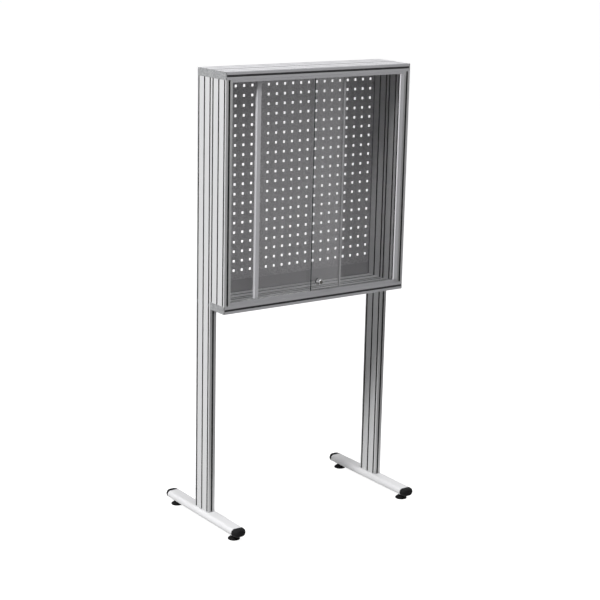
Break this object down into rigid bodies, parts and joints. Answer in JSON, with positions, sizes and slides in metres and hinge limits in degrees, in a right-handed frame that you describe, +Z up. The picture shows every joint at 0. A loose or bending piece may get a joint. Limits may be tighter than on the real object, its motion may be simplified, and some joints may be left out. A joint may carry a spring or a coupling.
{
  "type": "free-standing lockable notice board",
  "caption": "Free-standing glazed notice board case with a perforated back panel and lockable sliding glass doors, on slotted aluminium posts with levelling tube feet.",
  "frame": {"origin": "on the floor, midway between the feet and at half the depth of the posts", "axes": "+X along the board to the viewer's right, +Y from the glass front to the back, +Z up"},
  "size_m": [0.89, 0.54, 1.8],
  "materials": {
    "anodised_aluminium": "satin silver anodised extrusion",
    "key_aluminium": "plain mill finish",
    "cap_grey": "fine-grained grey plastic",
    "panel_grey": "mid grey powder coat",
    "strip_grey": "mid grey powder coat",
    "seal_rubber": "matt black rubber",
    "track_aluminium": "satin silver anodised extrusion",
    "pane_glass": "clear float glass with polished edges",
    "handle_aluminium": "satin silver anodised extrusion",
    "shoe_plastic": "natural white plastic",
    "lock_chrome": "polished nickel plate",
    "plug_brass": "nickel-free brass, worn by the key",
    "foot_paint": "light grey powder coat",
    "foot_black": "black moulded plastic",
    "spindle_steel": "blackened steel",
    "screw_steel": "zinc plated steel"
  },
  "bodies": {
    "stand": {"left_post": "anodised_aluminium", "right_post": "anodised_aluminium", "left_side_profile": "anodised_aluminium", "right_side_profile": "anodised_aluminium", "top_front_profile": "anodised_aluminium", "top_rear_profile": "anodised_aluminium", "bottom_front_profile": "anodised_aluminium", "bottom_rear_profile": "anodised_aluminium", "side_joining_keys": "key_aluminium", "top_joining_keys": "key_aluminium", "bottom_joining_keys": "key_aluminium", "top_left_cap": "cap_grey", "top_right_cap": "cap_grey", "bottom_left_cap": "cap_grey", "bottom_right_cap": "cap_grey", "perforated_panel": "panel_grey", "lower_strip": "strip_grey", "splice_strip": "panel_grey", "panel_gaskets": "seal_rubber", "bottom_track": "track_aluminium", "top_track": "track_aluminium", "left_door_seal": "seal_rubber", "right_door_seal": "seal_rubber", "left_foot_tube": "foot_paint", "right_foot_tube": "foot_paint", "left_front_foot_cap": "foot_black", "left_rear_foot_cap": "foot_black", "right_front_foot_cap": "foot_black", "right_rear_foot_cap": "foot_black", "leveller_nuts": "screw_steel", "foot_screws": "screw_steel", "foot_washers": "screw_steel", "top_screws": "screw_steel", "bottom_screws": "screw_steel", "cross_screws": "screw_steel"},
    "left_door": {"left_glass": "pane_glass", "left_handle": "handle_aluminium", "left_edge_trim": "handle_aluminium", "left_door_runners": "shoe_plastic", "left_door_guides": "shoe_plastic"},
    "right_door": {"right_glass": "pane_glass", "right_handle": "handle_aluminium", "right_door_runners": "shoe_plastic", "right_door_guides": "shoe_plastic", "lock_housing": "lock_chrome", "lock_ring": "seal_rubber", "lock_nut": "lock_chrome"},
    "lock_cylinder": {"lock_cylinder": "lock_chrome"},
    "lock_plug": {"lock_plug": "plug_brass"},
    "left_front_leveller": {"left_front_pad": "foot_black", "left_front_spindle": "spindle_steel"},
    "left_rear_leveller": {"left_rear_pad": "foot_black", "left_rear_spindle": "spindle_steel"},
    "right_front_leveller": {"right_front_pad": "foot_black", "right_front_spindle": "spindle_steel"},
    "right_rear_leveller": {"right_rear_pad": "foot_black", "right_rear_spindle": "spindle_steel"}
  },
  "joints": [
    {"name": "left_door_slide", "type": "slide", "parent": "stand", "child": "left_door", "axis": [1, 0, 0], "range_m": [-0.1145, 0.2755]},
    {"name": "right_door_slide", "type": "slide", "parent": "stand", "child": "right_door", "axis": [1, 0, 0], "range_m": [-0.374, 0]},
    {"name": "lock_push", "type": "slide", "parent": "right_door", "child": "lock_cylinder", "axis": [0, 1, 0], "range_m": [0, 0.006], "stiffness_N_per_m": 600, "springref_m": -0.004},
    {"name": "lock_turn", "type": "hinge", "parent": "lock_cylinder", "child": "lock_plug", "pos_m": [0.013, -0.155, 0.963], "axis": [0, 1, 0], "range_deg": [0, 90]},
    {"name": "left_front_levelling", "type": "slide", "parent": "stand", "child": "left_front_leveller", "axis": [0, 0, 1], "range_m": [-0.012, 0]},
    {"name": "left_rear_levelling", "type": "slide", "parent": "stand", "child": "left_rear_leveller", "axis": [0, 0, 1], "range_m": [-0.012, 0]},
    {"name": "right_front_levelling", "type": "slide", "parent": "stand", "child": "right_front_leveller", "axis": [0, 0, 1], "range_m": [-0.012, 0]},
    {"name": "right_rear_levelling", "type": "slide", "parent": "stand", "child": "right_rear_leveller", "axis": [0, 0, 1], "range_m": [-0.012, 0]}
  ]
}
